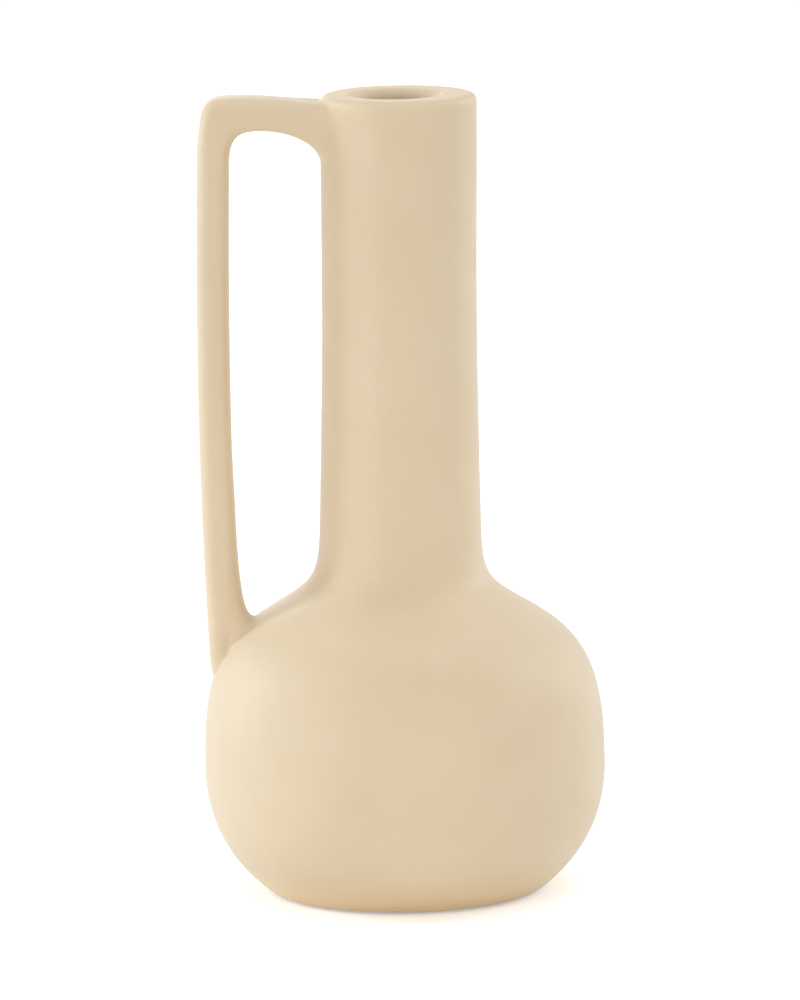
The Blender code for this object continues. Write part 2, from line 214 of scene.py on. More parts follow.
# Noises, each with a scale, a detail and a roughness, and reliefs, each with a depth and a strength
NOISE_RANGE = (0.3, 0.7)
GLAZE_MOTTLE = (24.0, 4.0, 0.55)
GLAZE_PATCHES = (60.0, 3.0, 0.50)
GLAZE_SOFT_NOISE = (90.0, 2.0, 0.50)
GLAZE_SOFT_RELIEF = (0.0004, 0.25)
GLAZE_FINE_NOISE = (1400.0, 3.0, 0.60)
GLAZE_FINE_RELIEF = (0.00004, 0.35)
CLAY_GRAIN = (700.0, 6.0, 0.70)
CLAY_RELIEF = (0.0003, 0.60)

# Ranges of roughness, and colours by the value of a noise
GLAZE_ROUGHNESS = (0.46, 0.58)
GLAZE_COLOURS = (
    (0.32, (0.729, 0.578, 0.384)),
    (0.50, (0.744, 0.594, 0.399)),
    (0.68, (0.757, 0.610, 0.415)),
)
CLAY_ROUGHNESS = (0.78, 0.92)
CLAY_COLOURS = (
    (0.30, (0.330, 0.235, 0.160)),
    (0.50, (0.400, 0.290, 0.205)),
    (0.72, (0.480, 0.360, 0.262)),
)

# Soft pale sheen of the matt glaze towards its edges
GLAZE_SHEEN = 0.21
LIP_SHEEN = 0.12
SHEEN_ROUGHNESS = 0.40
SHEEN_TINT = (0.75, 0.90, 1.0, 1.0)

# Painted light and shade by height, multiplied into the glaze colour: painted warm bounce light at
# the base, painted light on the upper shoulder up to the groove at the neck's root, painted shade
# up the neck, a painted pale reflection round the lip's rounded edge, and painted light on the
# lip's top
PAINTED_LIGHT_BY_HEIGHT = (
    (0.0040, (1.12, 1.05, 0.93)),
    (0.0140, (1.0, 1.0, 1.0)),
    (0.0960, (1.0, 1.0, 1.0)),
    (0.1030, (1.027, 1.027, 1.03)),
    (0.1130, (1.027, 1.027, 1.03)),
    (0.1165, (1.0, 1.0, 1.0)),
    (0.1600, (1.0, 1.0, 1.0)),
    (0.2500, (0.960, 0.955, 0.945)),
    (0.2960, (0.960, 0.955, 0.945)),
    (0.2978, (1.005, 1.005, 1.02)),
    (0.2990, (1.015, 1.01, 1.02)),
    (0.2998, (1.02, 1.00, 0.97)),
)

# Worked out from the sizes above
LIP_Z = HEIGHT - LIP_HEIGHT
LIP_SKIRT_Z = HEIGHT - LIP_SKIRT_DROP
NECK_TOP_Z = HEIGHT - NECK_TOP_DROP
NECK_ROOT_Z = SHOULDER_Z + ROOT_RISE
COLLAR_Z = SHOULDER_Z - COLLAR_DEPTH
CEILING_Z = COLLAR_Z - BOWL_WALL
UNDERSIDE_Z = BASE_LIFT + BASE_RECESS
FLOOR_Z = BASE_LIFT + BOWL_FLOOR
NECK_BORE_RADIUS = NECK_RADIUS - NECK_WALL
SPIGOT_RADIUS = NECK_RADIUS - SPIGOT_STEP
MOUTH_RADIUS = NECK_RADIUS - LIP_WIDTH
MOUTH_TOP_RADIUS = MOUTH_RADIUS + MOUTH_EDGE_WIDTH
LIP_INNER_RADIUS = NECK_RADIUS - LIP_EDGE_RADIUS
LEG_REACH = BOWL_RADIUS - HANDLE_THICKNESS / 2
SHOULDER_SLOPE = math.radians(SHOULDER_SLOPE_DEGREES)
SHOULDER_WAY = (-math.cos(SHOULDER_SLOPE), math.sin(SHOULDER_SLOPE))
UP_WAY = (0.0, 1.0)


def mix(start, end, share):
    """The value a share of the way from a start to an end."""
    return start + (end - start) * share


def smooth_step(value):
    """A share held between 0 and 1, with a soft start and end."""
    value = min(max(value, 0.0), 1.0)
    return value * value * (3 - 2 * value)


def arc(centre, radius, start_degrees, end_degrees, steps):
    """Points of a circular arc in the XZ plane, both ends included."""
    points = []
    for step in range(steps + 1):
        angle = math.radians(mix(start_degrees, end_degrees, step / steps))
        points.append((centre[0] + radius * math.cos(angle), centre[1] + radius * math.sin(angle)))
    return points


def bezier(start, leaving, arriving, end, steps):
    """Points of a cubic curve, both ends included, as vectors."""
    controls = [Vector(point) for point in (start, leaving, arriving, end)]
    points = []
    for step in range(steps + 1):
        t = step / steps
        weights = ((1 - t) ** 3, 3 * t * (1 - t) ** 2, 3 * t * t * (1 - t), t ** 3)
        point = controls[0] * weights[0]
        for control, weight in zip(controls[1:], weights[1:]):
            point = point + control * weight
        points.append(point)
    return points


def into_corner(start, corner, end, fullness, steps):
    """A curve from start to end that is drawn towards the corner where its end tangents cross."""
    start = Vector(start)
    corner = Vector(corner)
    end = Vector(end)
    return bezier(start, start.lerp(corner, fullness[0]), end.lerp(corner, fullness[1]), end, steps)


def swept(start, start_way, end, end_way, fullness, steps):
    """A curve in the XZ plane that leaves its start and reaches its end along two given ways."""
    start = Vector(start)
    end = Vector(end)
    start_way = Vector(start_way)
    end_way = Vector(end_way)
    corner = start + start_way * ((end - start).cross(end_way) / start_way.cross(end_way))
    return [tuple(point) for point in into_corner(start, corner, end, fullness, steps)]


def rounded_corner(before, corner, after, radius, steps):
    """The arc that rounds the corner between two straight runs in the XZ plane."""
    middle = Vector(corner)
    back = (Vector(before) - middle).normalized()
    ahead = (Vector(after) - middle).normalized()
    half_angle = back.angle(ahead) / 2
    centre = middle + (back + ahead).normalized() * (radius / math.sin(half_angle))
    run = radius / math.tan(half_angle)
    first = middle + back * run - centre
    last = middle + ahead * run - centre
    points = []
    for step in range(steps + 1):
        spoke = first.lerp(last, step / steps).normalized() * radius
        points.append(tuple(centre + spoke))
    return points


def grown(points, distance):
    """An upward-running outline moved outwards, or inwards for a wall."""
    moved = []
    for index, point in enumerate(points):
        before = Vector(points[max(index - 1, 0)])
        after = Vector(points[min(index + 1, len(points) - 1)])
        along = (after - before).normalized()
        moved.append((point[0] + along.y * distance, point[1] - along.x * distance))
    return moved


def neck_radius_at(z):
    """Outer radius of the neck, which has a slight waist and flares a little towards its root."""
    share = max(0.0, (NECK_TOP_Z - z) / (NECK_TOP_Z - NECK_ROOT_Z))
    hollow = 4 * share * (1 - share)
    waist = NECK_WAIST * hollow ** 2
    return NECK_RADIUS + NECK_FLARE * share ** NECK_FLARE_POWER - waist


def lower_belly():
    """The bowl's outer side, from its base up to its widest circle."""
    rise = BOWL_WIDEST_Z - BASE_LIFT
    swell = BOWL_RADIUS - BASE_RADIUS
    base_angle = 2 * math.atan2(swell, rise)
    base_way = (math.sin(base_angle), math.cos(base_angle))
    base = (BASE_RADIUS, BASE_LIFT)
    widest = (BOWL_RADIUS, BOWL_WIDEST_Z)
    side = swept(base, base_way, widest, UP_WAY, LOW_SIDE_FULLNESS, PROFILE_STEPS)
    edge = rounded_corner((0.0, BASE_LIFT), side[0], side[1], BASE_EDGE_RADIUS, EDGE_STEPS)
    return edge + [point for point in side if point[1] > edge[-1][1]]


def upper_belly():
    """The bowl's outer side, from its widest circle to the top of its shoulder."""
    widest = (BOWL_RADIUS, BOWL_WIDEST_Z)
    shoulder = (SHOULDER_RADIUS, SHOULDER_Z)
    fullness = (BELLY_FULLNESS, SHOULDER_FULLNESS)
    return swept(widest, UP_WAY, shoulder, SHOULDER_WAY, fullness, PROFILE_STEPS)


def neck_root():
    """The hollow curve from the shoulder up into the neck's outer wall, in line with its flare."""
    shoulder = (SHOULDER_RADIUS, SHOULDER_Z)
    top = (neck_radius_at(NECK_ROOT_Z), NECK_ROOT_Z)
    neck_way = (-NECK_FLARE_POWER * NECK_FLARE / (NECK_TOP_Z - NECK_ROOT_Z), 1)
    return swept(shoulder, SHOULDER_WAY, top, neck_way, ROOT_FULLNESS, PROFILE_STEPS)


SHOULDER_LINE = upper_belly() + neck_root()[1:]


def on_shoulder(x, y):
    """The point of the vase's shoulder above or below a place, and the shoulder's normal there."""
    radius = math.hypot(x, y)
    for (outer_x, outer_z), (inner_x, inner_z) in zip(SHOULDER_LINE, SHOULDER_LINE[1:]):
        if inner_x <= radius:
            break
    share = (outer_x - radius) / (outer_x - inner_x)
    slope = Vector((inner_z - outer_z, outer_x - inner_x)).normalized()
    point = Vector((x, y, mix(outer_z, inner_z, share)))
    normal = Vector((slope.x * x / radius, slope.x * y / radius, slope.y))
    return point, normal


def on_neck(around, up):
    """A point of the neck's and lip's outside, its normal, and the ways round and up the surface.

    Around is a length along the girth from the handle's side. Up is a height, which runs on
    along the arc of the lip's rounded edge.
    """
    edge_start = HEIGHT - LIP_EDGE_RADIUS
    edge_angle = max(0.0, (up - edge_start) / LIP_EDGE_RADIUS)
    if edge_angle > 0:
        radius = LIP_INNER_RADIUS + LIP_EDGE_RADIUS * math.cos(edge_angle)
        z = edge_start + LIP_EDGE_RADIUS * math.sin(edge_angle)
    else:
        radius = neck_radius_at(up)
        z = up
    turn = around / NECK_RADIUS
    outward = Vector((-math.cos(turn), math.sin(turn), 0.0))
    girth_way = Vector((math.sin(turn), math.cos(turn), 0.0))
    up_way = outward * -math.sin(edge_angle) + Vector((0, 0, math.cos(edge_angle)))
    normal = outward * math.cos(edge_angle) + Vector((0, 0, math.sin(edge_angle)))
    return outward * radius + Vector((0, 0, z)), normal, girth_way, up_way


def between(value, start, end):
    """A smooth share of the way from a start to an end."""
    return smooth_step((value - start) / (end - start))


def hand_worked(point):
    """A point of the true upright vase, moved to its place on the vase as worked by hand.

    The neck's root is grooved, the shoulder tilts, the neck leans and the mouth sits off centre.
    """
    x, y, z = point
    groove_width = GROOVE_WIDTH_ABOVE if z > GROOVE_Z else GROOVE_WIDTH_BELOW
    distance = (z - GROOVE_Z) / groove_width
    groove = GROOVE_DEPTH * math.exp(-distance * distance)
    groove *= between(abs(x - GROOVE_X), GROOVE_REACH, 0.0)
    tilt = between(z, TILT_START_Z, TILT_FULL_Z) * between(z, TILT_END_Z, TILT_FADE_Z)
    tilt *= between(x, TILT_START_X, TILT_FULL_X)
    lean = between(z, LEAN_START_Z, LEAN_FULL_Z) * between(x, LEAN_START_X, LEAN_FULL_X)
    mouth = between(z, LIP_SKIRT_Z, NECK_TOP_Z)
    mouth *= between(math.hypot(x, y), LIP_INNER_RADIUS, MOUTH_TOP_RADIUS)
    return (
        x + LEAN_SLOPE * (z - LEAN_ZERO_Z) * lean - MOUTH_SHIFT * mouth,
        y - math.copysign(min(groove, abs(y)), y),
        z - TILT_SLOPE * x * tilt,
    )


def finish_mesh(name, points, faces):
    """A closed mesh object with outward faces, smooth except at its hidden edges."""
    mesh = bpy.data.meshes.new(name)
    mesh.from_pydata([hand_worked(point) for point in points], [], faces)
    work = bmesh.new()
    work.from_mesh(mesh)
    bmesh.ops.recalc_face_normals(work, faces=work.faces)
    work.to_mesh(mesh)
    work.free()
    mesh.shade_smooth()
    mesh.set_sharp_from_angle(angle=math.radians(SHARP_ANGLE_DEGREES))
    piece = bpy.data.objects.new(name, mesh)
    bpy.context.scene.collection.objects.link(piece)
    return piece


def turned(name, profile, closed):
    """A profile of radii and heights turned about Z. An open one starts and ends on the axis."""
    points = []
    rings = []
    for radius, z in profile:
        count = SEGMENTS if radius > 0 else 1
        rings.append(range(len(points), len(points) + count))
        for segment in range(count):
            angle = 2 * math.pi * segment / SEGMENTS
            points.append((radius * math.cos(angle), radius * math.sin(angle), z))
    pairs = list(zip(rings, rings[1:]))
    if closed:
        pairs.append((rings[-1], rings[0]))
    faces = []
    for low, high in pairs:
        for segment in range(SEGMENTS):
            following = (segment + 1) % SEGMENTS
            corners = [low[segment % len(low)], low[following % len(low)]]
            corners += [high[following % len(high)], high[segment % len(high)]]
            faces.append(list(dict.fromkeys(corners)))
    return finish_mesh(name, points, faces)


def lofted(name, rings):
    """A closed body skinned over matching rings of points, with a fan over each end."""
    points = [point for ring in rings for point in ring]
    count = len(rings[0])
    faces = []
    for level in range(len(rings) - 1):
        for index in range(count):
            following = (index + 1) % count
            low = level * count
            high = low + count
            faces.append((low + index, low + following, high + following, high + index))
    for ring, first in ((rings[0], 0), (rings[-1], len(points) - count)):
        middle = len(points)
        points.append(sum(ring, Vector()) / count)
        for index in range(count):
            faces.append((first + index, first + (index + 1) % count, middle))
    return finish_mesh(name, points, faces)


def rounded_rectangle(half_across, half_deep, radius):
    """Points (across, deep) of a rounded rectangle, the same number for every size."""
    bends = []
    for side, end, turn in ((1, 1, 0), (-1, 1, 90), (-1, -1, 180), (1, -1, 270)):
        centre = (side * (half_across - radius), end * (half_deep - radius))
        bends.append(arc(centre, radius, turn, turn + 90, SECTION_CORNER_STEPS))
    points = []
    for index, bend in enumerate(bends):
        points += bend
        start = bend[-1]
        end = bends[(index + 1) % len(bends)][0]
        steps = (SECTION_SHORT_STEPS, SECTION_LONG_STEPS)[index % 2]
        for step in range(1, steps):
            share = step / steps
            points.append((mix(start[0], end[0], share), mix(start[1], end[1], share)))
    return points


def crowned(points, half_across, half_deep, crown):
    """The same points with each face slightly domed."""
    domed = []
    for across, deep in points:
        domed.append((
            across - math.copysign(crown, across) * (deep / half_deep) ** 2,
            deep - math.copysign(crown, deep) * (across / half_across) ** 2,
        ))
    return domed


def handle_section(half_across):
    """Points (across, deep) round the handle's strap, for half of its thickness."""
    half_deep = HANDLE_DEPTH / 2
    points = rounded_rectangle(half_across, half_deep, HANDLE_EDGE_RADIUS)
    return crowned(points, half_across, half_deep, HANDLE_CROWN)


def leg_centre(z):
    """How far out the middle of the handle's leg stands, which bows out at mid-height."""
    foot_z = on_shoulder(LEG_REACH, 0.0)[0].z
    lean = (2 * z - HEIGHT - foot_z) / (HEIGHT - foot_z)
    bow = LEG_BOW_TOP if lean > 0 else LEG_BOW_FOOT
    return LEG_REACH - bow * lean * lean


LEG_SECTION = handle_section(HANDLE_THICKNESS / 2)


def on_leg(across, deep, z):
    """A point of the leg's side.

    Near the bowl its outer part turns in and narrows, and its inner part swells.
    """
    outer = 0.5 + across / HANDLE_THICKNESS
    toe = TOE_IN * outer * (max(0.0, TOE_START_Z - z) / TOE_LENGTH) ** 2
    pinch = PINCH * outer * smooth_step((PINCH_START_Z - z) / PINCH_LENGTH)
    swell = SWELL * (1 - outer) * smooth_step((SWELL_START_Z - z) / SWELL_LENGTH)
    return Vector((-leg_centre(z) - across + toe + swell, deep * (1 - pinch), z))


def leg_crease(across, deep):
    """Where a line down the leg's side meets the bowl, found by rounds of closing in on it."""
    z = SHOULDER_Z
    for _ in range(CREASE_ROUNDS):
        place = on_leg(across, deep, z)
        z = mix(z, on_shoulder(place.x, place.y)[0].z, CREASE_PACE)
    return on_leg(across, deep, z)


def by_side(sizes, across):
    """A size that goes from the leg's inner face, by its side faces, to its outer face."""
    share = across / (HANDLE_THICKNESS / 2)
    if share < 0:
        return mix(sizes["side"], sizes["inner"], smooth_step(-share))
    return mix(sizes["side"], sizes["outer"], smooth_step(share))


def leg_start_ring():
    """The slanting ring where the leg's straight bar gives way to its root."""
    ring = []
    for across, deep in LEG_SECTION:
        z = leg_crease(across, deep).z + by_side(LEG_RISE, across)
        ring.append(on_leg(across, deep, z))
    return ring


def handle_lines():
    """Matching points of the handle's outer and inner lines, from its corner to the arm's end."""
    half = HANDLE_THICKNESS / 2
    outer_start = (-leg_centre(CORNER_START_Z) - half, CORNER_START_Z)
    inner_start = (-leg_centre(INNER_CORNER_START_Z) + half, INNER_CORNER_START_Z)
    outer_end = (CORNER_END_X, HEIGHT - ARM_TOP_GAP)
    inner_end = (INNER_CORNER_END_X, ARM_UNDERSIDE_Z)
    outer_corner = (outer_start[0] + CORNER_LEAN, outer_end[1])
    inner_corner = (inner_start[0], inner_end[1])
    inner_fullness = (INNER_CORNER_FULLNESS, INNER_CORNER_FULLNESS)
    outer = into_corner(outer_start, outer_corner, outer_end, CORNER_FULLNESS, HANDLE_CORNER_STEPS)
    inner = into_corner(inner_start, inner_corner, inner_end, inner_fullness, HANDLE_CORNER_STEPS)
    for line, end, bend in (
        (outer, outer_end, ARM_TOP_BEND),
        (inner, inner_end, ARM_UNDERSIDE_BEND),
    ):
        for step in range(1, ARM_STEPS + 1):
            run = (ARM_END_X - end[0]) * step / ARM_STEPS
            line.append(Vector((end[0] + run, end[1] - bend * run ** 2)))
    return outer, inner


def handle_rings():
    """Rings of the bar from the leg's root, up the leg, round the corner and along the arm."""
    start = leg_start_ring()
    outer, inner = handle_lines()
    rings = []
    for step in range(LEG_STEPS):
        ring = []
        for (across, deep), first in zip(LEG_SECTION, start):
            share = 0.5 + across / HANDLE_THICKNESS
            top_z = mix(inner[0].y, outer[0].y, share)
            ring.append(on_leg(across, deep, mix(first.z, top_z, step / LEG_STEPS)))
        rings.append(ring)
    for outer_point, inner_point in zip(outer, inner):
        centre = (outer_point + inner_point) / 2
        reach = outer_point - inner_point
        way = reach.normalized()
        ring = []
        for across, deep in handle_section(reach.length / 2):
            place = centre + way * across
            ring.append(Vector((place.x, deep, place.y)))
        rings.append(ring)
    return rings


def leg_root_rings(bar_rings):
    """Rings from the bar's lower end out over the bowl, as a small hollow curve all round."""
    curves = []
    for index, (across, deep) in enumerate(LEG_SECTION):
        start = bar_rings[0][index]
        crease = leg_crease(across, deep)
        before = LEG_SECTION[index - 1]
        after = LEG_SECTION[(index + 1) % len(LEG_SECTION)]
        away = Vector((-(after[1] - before[1]), -(after[0] - before[0]), 0.0)).normalized()
        spread = crease + away * by_side(LEG_SPREAD, across)
        landing, normal = on_shoulder(spread.x, spread.y)
        end = landing - normal * LANDING_DIP
        fullness = (by_side(LEG_START_FULLNESS, across), by_side(LEG_END_FULLNESS, across))
        curve = into_corner(start, crease, end, fullness, ROOT_STEPS)
        delay = smooth_step(-2 * across / HANDLE_THICKNESS)
        for step, point in enumerate(curve):
            late_y = mix(start.y, end.y, (step / ROOT_STEPS) ** LEG_SPREAD_DELAY)
            point.y = mix(point.y, late_y, delay)
        curves.append(curve)
    return [list(ring) for ring in zip(*curves)]


def arm_root_rings(bar_rings):
    """Rings from the bar's upper end out over the neck and the lip's edge, hollow underneath."""
    low = ARM_LANDING_LOW_Z
    high = HEIGHT - LIP_EDGE_RADIUS + LIP_EDGE_RADIUS * math.radians(ARM_LANDING_EDGE_DEGREES)
    half_up = (high - low) / 2
    half_around = HANDLE_DEPTH / 2 + ARM_LANDING_SPREAD
    middle = (high + low) / 2
    outline = rounded_rectangle(half_up, half_around, ARM_LANDING_CORNER)
    curves = []
    for index, (up, around) in enumerate(outline):
        start = bar_rings[-1][index]
        start_way = (start - bar_rings[-2][index]).normalized()
        place, normal, girth_way, up_way = on_neck(around, middle + up)
        before = outline[index - 1]
        after = outline[(index + 1) % len(outline)]
        along = Vector((after[0] - before[0], after[1] - before[1])).normalized()
        away = up_way * along.y - girth_way * along.x
        share = up / half_up
        far_pull = ARM_TOP_PULL if share > 0 else ARM_LOW_PULL
        pull = mix(ARM_SIDE_PULL, far_pull, smooth_step(abs(share)))
        leaving = start + start_way * ARM_START_PULL
        end = place - normal * LANDING_DIP
        curves.append(bezier(start, leaving, end - away * pull, end, ROOT_STEPS))
    return [list(ring) for ring in zip(*curves)]


def bowl_shell():
    """The bowl, with its collar, its inside and the recess under its base."""
    outside = lower_belly() + upper_belly()[1:]
    low_z = FLOOR_Z + BOWL_WALL
    inside = [point for point in grown(outside, -BOWL_WALL) if low_z < point[1] < CEILING_Z]
    floor_edge = (inside[0][0] - BOWL_WALL, FLOOR_Z)
    bend_pull = (inside[0][0] - FLOOR_BEND_PULL, FLOOR_Z)
    floor_bend = bezier(floor_edge, bend_pull, inside[0], inside[0], EDGE_STEPS)
    profile = [(0.0, FLOOR_Z)] + [tuple(point) for point in floor_bend] + inside[1:]
    profile += [(SPIGOT_RADIUS, CEILING_Z), (SPIGOT_RADIUS, COLLAR_Z), (SHOULDER_RADIUS, COLLAR_Z)]
    profile += list(reversed(outside))
    profile += [(FOOT_RADIUS, BASE_LIFT), (FOOT_RADIUS, FOOT_HEIGHT)]
    profile += [(FOOT_RADIUS - FOOT_WIDTH, FOOT_HEIGHT), (FOOT_RADIUS - FOOT_WIDTH, UNDERSIDE_Z)]
    profile += [(0.0, UNDERSIDE_Z)]
    return turned("bowl_shell", profile, closed=False)


def foot_ring_clay():
    """The unglazed ring that the vase stands on."""
    inner = FOOT_RADIUS - FOOT_WIDTH
    edge = FOOT_EDGE_RADIUS
    profile = [(inner, FOOT_HEIGHT), (FOOT_RADIUS, FOOT_HEIGHT)]
    profile += arc((FOOT_RADIUS - edge, edge), edge, 0, -90, EDGE_STEPS)
    profile += arc((inner + edge, edge), edge, -90, -180, EDGE_STEPS)
    return turned("foot_ring_clay", profile, closed=True)


def neck_shell():
    """The neck's tube, from its spigot in the bowl's collar up to the lip."""
    coil_bore = neck_radius_at(NECK_ROOT_Z) - COIL_EDGE
    profile = [(NECK_BORE_RADIUS, COLLAR_Z - SPIGOT_LENGTH), (NECK_BORE_RADIUS, LIP_SKIRT_Z)]
    profile += [(SPIGOT_RADIUS, LIP_SKIRT_Z), (SPIGOT_RADIUS, LIP_Z)]
    for step in range(PROFILE_STEPS + 1):
        z = mix(LIP_Z, NECK_ROOT_Z, step / PROFILE_STEPS)
        profile.append((neck_radius_at(z), z))
    profile += [(coil_bore, NECK_ROOT_Z), (coil_bore, COLLAR_Z)]
    profile += [(SPIGOT_RADIUS, COLLAR_Z), (SPIGOT_RADIUS, COLLAR_Z - SPIGOT_LENGTH)]
    return turned("neck_shell", profile, closed=True)


def neck_root_clay():
    """The clay smoothed into the hollow between the shoulder and the neck."""
    bore = neck_radius_at(NECK_ROOT_Z) - COIL_EDGE
    profile = [(bore, COLLAR_Z), (bore, NECK_ROOT_Z)]
    profile += list(reversed(neck_root()))
    profile += [(SHOULDER_RADIUS, COLLAR_Z)]
    return turned("neck_root_clay", profile, closed=True)


def lip_shell():
    """The closed-in lip, with its skirt in the neck and its funnel-like mouth."""
    throat = bezier(
        (NECK_BORE_RADIUS, LIP_SKIRT_Z),
        (NECK_BORE_RADIUS, NECK_TOP_Z),
        (MOUTH_RADIUS, NECK_TOP_Z),
        (MOUTH_RADIUS, HEIGHT - MOUTH_LENGTH),
        THROAT_STEPS,
    )
    profile = [tuple(point) for point in throat]
    for across, up in arc((0.0, 0.0), 1.0, 180, 90, EDGE_STEPS):
        z = HEIGHT - MOUTH_EDGE_DEPTH * (1 - up)
        profile.append((MOUTH_TOP_RADIUS + MOUTH_EDGE_WIDTH * across, z))
    edge_centre = (LIP_INNER_RADIUS, HEIGHT - LIP_EDGE_RADIUS)
    profile += arc(edge_centre, LIP_EDGE_RADIUS, 90, 0, EDGE_STEPS)
    profile += [(NECK_RADIUS, LIP_Z), (SPIGOT_RADIUS, LIP_Z), (SPIGOT_RADIUS, LIP_SKIRT_Z)]
    return turned("lip_shell", profile, closed=True)


def new_material(name):
    """A material with nodes, and its nodes, links and shader."""
    material = bpy.data.materials.new(name)
    material.use_nodes = True
    nodes = material.node_tree.nodes
    return material, nodes, material.node_tree.links, nodes["Principled BSDF"]


def noise(nodes, links, place, scale, detail, roughness):
    """The value of a noise over the object's own coordinates."""
    texture = nodes.new("ShaderNodeTexNoise")
    texture.inputs["Scale"].default_value = scale
    texture.inputs["Detail"].default_value = detail
    texture.inputs["Roughness"].default_value = roughness
    links.new(place, texture.inputs["Vector"])
    return texture.outputs["Fac"]


def ramp(nodes, links, source, stops):
    """A colour ramp over a texture's value, with stops of (place, colour)."""
    band = nodes.new("ShaderNodeValToRGB")
    links.new(source, band.inputs["Fac"])
    elements = band.color_ramp.elements
    while len(elements) < len(stops):
        elements.new(0.5)
    for element, (position, colour) in zip(elements, stops):
        element.position = position
        element.color = (*colour, 1.0)
    return band.outputs["Color"]


def spread(nodes, links, source, low, high):
    """A noise's value, moved from its usual range to another."""
    span = nodes.new("ShaderNodeMapRange")
    span.inputs["From Min"].default_value = NOISE_RANGE[0]
    span.inputs["From Max"].default_value = NOISE_RANGE[1]
    span.inputs["To Min"].default_value = low
    span.inputs["To Max"].default_value = high
    links.new(source, span.inputs["Value"])
    return span.outputs["Result"]


def bump(nodes, links, height, distance, strength, under=None):
    """A surface normal for a relief, which may lie over another relief."""
    relief = nodes.new("ShaderNodeBump")
    relief.inputs["Strength"].default_value = strength
    relief.inputs["Distance"].default_value = distance
    links.new(height, relief.inputs["Height"])
    if under is not None:
        links.new(under, relief.inputs["Normal"])
    return relief.outputs["Normal"]


def painted_light_by_height(nodes, links, place, colour):
    """A colour multiplied by the painted light and shade for its height."""
    axes = nodes.new("ShaderNodeSeparateXYZ")
    links.new(place, axes.inputs["Vector"])
    share = nodes.new("ShaderNodeMapRange")
    share.inputs["From Max"].default_value = HEIGHT
    links.new(axes.outputs["Z"], share.inputs["Value"])
    stops = [(z / HEIGHT, tint) for z, tint in PAINTED_LIGHT_BY_HEIGHT]
    factor = ramp(nodes, links, share.outputs["Result"], stops)
    product = nodes.new("ShaderNodeVectorMath")
    product.operation = "MULTIPLY"
    links.new(colour, product.inputs[0])
    links.new(factor, product.inputs[1])
    return product.outputs["Vector"]


def glaze_material(name, sheen):
    """The satin-matt cream glaze, faintly mottled and grained, with a soft sheen and with painted
    light and shade by height in its colour.
    """
    material, nodes, links, shader = new_material(name)
    shader.inputs["Sheen Weight"].default_value = sheen
    shader.inputs["Sheen Roughness"].default_value = SHEEN_ROUGHNESS
    shader.inputs["Sheen Tint"].default_value = SHEEN_TINT
    place = nodes.new("ShaderNodeTexCoord").outputs["Object"]
    mottle = noise(nodes, links, place, *GLAZE_MOTTLE)
    colour = ramp(nodes, links, mottle, GLAZE_COLOURS)
    # The base colour carries painted light and shade by height: painted bounce light, highlights,
    # shade and lip reflection.
    links.new(painted_light_by_height(nodes, links, place, colour), shader.inputs["Base Color"])
    patches = noise(nodes, links, place, *GLAZE_PATCHES)
    links.new(spread(nodes, links, patches, *GLAZE_ROUGHNESS), shader.inputs["Roughness"])
    waves = noise(nodes, links, place, *GLAZE_SOFT_NOISE)
    soft = bump(nodes, links, waves, *GLAZE_SOFT_RELIEF)
    grain = noise(nodes, links, place, *GLAZE_FINE_NOISE)
    fine = bump(nodes, links, grain, *GLAZE_FINE_RELIEF, under=soft)
    links.new(fine, shader.inputs["Normal"])
    return material


def clay_material():
    """The bare fired clay of the foot, dry and slightly grainy."""
    material, nodes, links, shader = new_material("bare_fired_clay_look")
    place = nodes.new("ShaderNodeTexCoord").outputs["Object"]
    grain = noise(nodes, links, place, *CLAY_GRAIN)
    links.new(ramp(nodes, links, grain, CLAY_COLOURS), shader.inputs["Base Color"])
    links.new(spread(nodes, links, grain, *CLAY_ROUGHNESS), shader.inputs["Roughness"])
    links.new(bump(nodes, links, grain, *CLAY_RELIEF), shader.inputs["Normal"])
    return material


def dress(piece, material, slot, *nodes):
    """Gives a piece its material and lets it stand for its CAD nodes, which are hidden."""
    piece.data.materials.append(material)
    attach(piece, "root")
    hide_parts(*nodes)


def add_camera():
    """The camera at the photograph's viewing angle."""
    data = bpy.data.cameras.new("view_camera")
    data.sensor_fit = "AUTO"
    data.sensor_width = VIEW_SENSOR
    data.lens = VIEW_LENS
    data.clip_start, data.clip_end = VIEW_CLIP
    camera = bpy.data.objects.new("view_camera", data)
    bpy.context.scene.collection.objects.link(camera)
    forward = Vector((0.0, math.cos(VIEW_TILT), -math.sin(VIEW_TILT)))
    stand = Matrix.Translation(Vector(VIEW_TARGET) - forward * VIEW_DISTANCE)
    tilt = Matrix.Rotation(math.pi / 2 - VIEW_TILT, 4, "X")
    roll = Matrix.Rotation(-VIEW_ROLL, 4, "Z")
    camera.matrix_world = stand @ tilt @ roll
    bpy.context.scene.camera = camera


def add_light(name, azimuth, elevation, size, power, colour):
    """A soft rectangular lamp aimed at the vase. Azimuth 0 is in front, and 90 on the right."""
    turn = math.radians(azimuth)
    lift = math.radians(elevation)
    level = math.cos(lift)
    way = Vector((math.sin(turn) * level, -math.cos(turn) * level, math.sin(lift)))
    data = bpy.data.lights.new(name, "AREA")
    data.shape = "RECTANGLE"
    data.size, data.size_y = size
    data.energy = power
    data.color = colour
    lamp = bpy.data.objects.new(name, data)
    bpy.context.scene.collection.objects.link(lamp)
    lamp.location = Vector((0.0, 0.0, HEIGHT / 2)) + way * LAMP_DISTANCE
    lamp.rotation_euler = way.to_track_quat("Z", "Y").to_euler()


def seen_background(nodes, links):
    """A share of 1 for rays that show the background, from the camera or off gloss and glass."""
    path = nodes.new("ShaderNodeLightPath")
    seen = path.outputs["Is Camera Ray"]
    for ray in ("Is Glossy Ray", "Is Transmission Ray"):
        either = nodes.new("ShaderNodeMath")
        either.operation = "MAXIMUM"
        links.new(seen, either.inputs[0])
        links.new(path.outputs[ray], either.inputs[1])
        seen = either.outputs[0]
    return seen


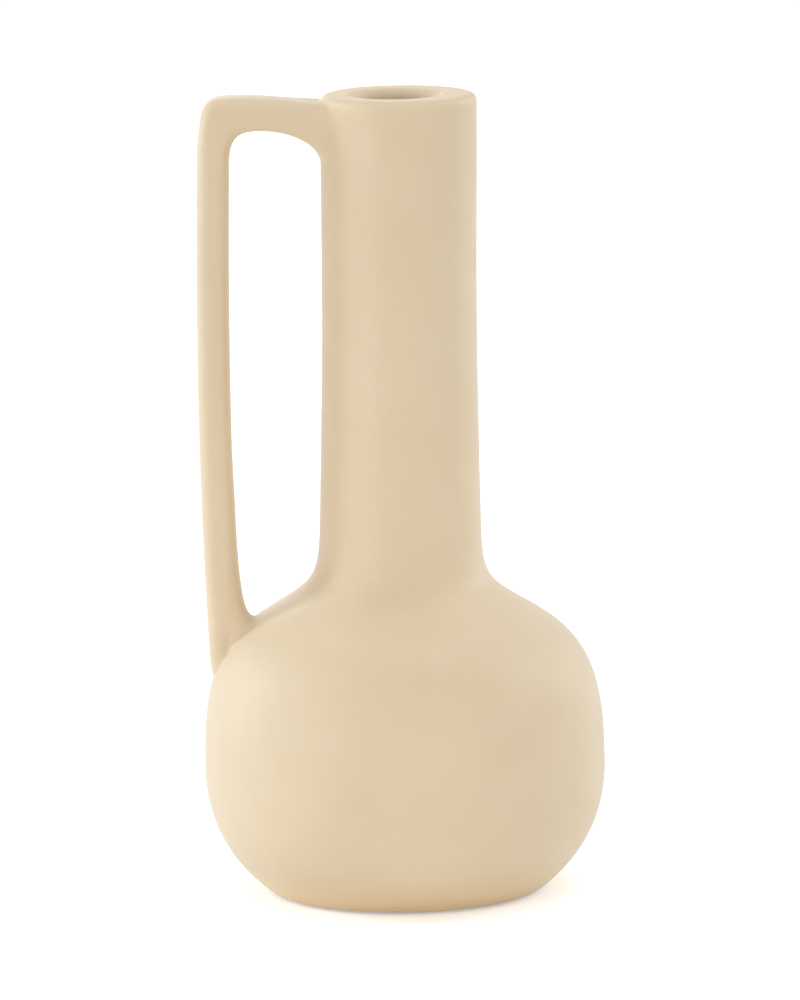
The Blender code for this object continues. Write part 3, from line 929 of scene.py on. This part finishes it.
def add_world():
    """A soft even light, which shows as white where the background itself is seen."""
    world = bpy.data.worlds.new("studio")
    bpy.context.scene.world = world
    world.use_nodes = True
    nodes = world.node_tree.nodes
    links = world.node_tree.links
    ambient = nodes["Background"]
    ambient.inputs["Color"].default_value = WHITE
    ambient.inputs["Strength"].default_value = WORLD_STRENGTH
    white = nodes.new("ShaderNodeBackground")
    white.inputs["Color"].default_value = WHITE
    white.inputs["Strength"].default_value = 1.0
    choice = nodes.new("ShaderNodeMixShader")
    links.new(seen_background(nodes, links), choice.inputs["Fac"])
    links.new(ambient.outputs["Background"], choice.inputs[1])
    links.new(white.outputs["Background"], choice.inputs[2])
    links.new(choice.outputs["Shader"], nodes["World Output"].inputs["Surface"])


def add_floor():
    """A plain pale floor, which keeps the vase's shadow and otherwise shows as white."""
    square = ((-1, -1), (1, -1), (1, 1), (-1, 1))
    corners = [(x * FLOOR_REACH, y * FLOOR_REACH, 0) for x, y in square]
    mesh = bpy.data.meshes.new("studio_floor")
    mesh.from_pydata(corners, [], [(0, 1, 2, 3)])
    floor = bpy.data.objects.new("studio_floor", mesh)
    bpy.context.scene.collection.objects.link(floor)
    material, nodes, links, shader = new_material("studio_floor")
    shader.inputs["Base Color"].default_value = FLOOR_COLOUR
    shader.inputs["Roughness"].default_value = FLOOR_ROUGHNESS
    shader.inputs["Specular IOR Level"].default_value = 0.0
    shader.inputs["Emission Color"].default_value = WHITE
    glow = nodes.new("ShaderNodeMath")
    glow.operation = "MULTIPLY"
    glow.inputs[1].default_value = FLOOR_GLOW
    links.new(seen_background(nodes, links), glow.inputs[0])
    links.new(glow.outputs[0], shader.inputs["Emission Strength"])
    mesh.materials.append(material)


def main():
    """Builds the vase's pieces, their looks, the studio and the camera."""
    glaze = glaze_material("matt_cream_glaze_look", GLAZE_SHEEN)
    lip_glaze = glaze_material("matt_cream_lip_look", LIP_SHEEN)
    clay = clay_material()
    bar = handle_rings()
    dress(bowl_shell(), glaze, "matt_cream_glaze", "bowl_body")
    dress(neck_shell(), glaze, "matt_cream_glaze", "neck_tube")
    dress(neck_root_clay(), glaze, "matt_cream_glaze", "neck_joint_coil")
    dress(lip_shell(), lip_glaze, "matt_cream_glaze", "lip_ring")
    dress(lofted("handle_bar", bar), glaze, "matt_cream_glaze", "handle")
    arm_root = lofted("arm_root_clay", arm_root_rings(bar))
    dress(arm_root, glaze, "matt_cream_glaze", "handle_top_coil")
    leg_root = lofted("leg_root_clay", leg_root_rings(bar))
    dress(leg_root, glaze, "matt_cream_glaze", "handle_foot_coil")
    dress(foot_ring_clay(), clay, "bare_fired_clay", "foot_ring")
    add_floor()
    add_world()
    for lamp in LAMPS:
        add_light(*lamp)
    add_camera()
    bpy.context.scene.view_settings.view_transform = "Standard"


main()
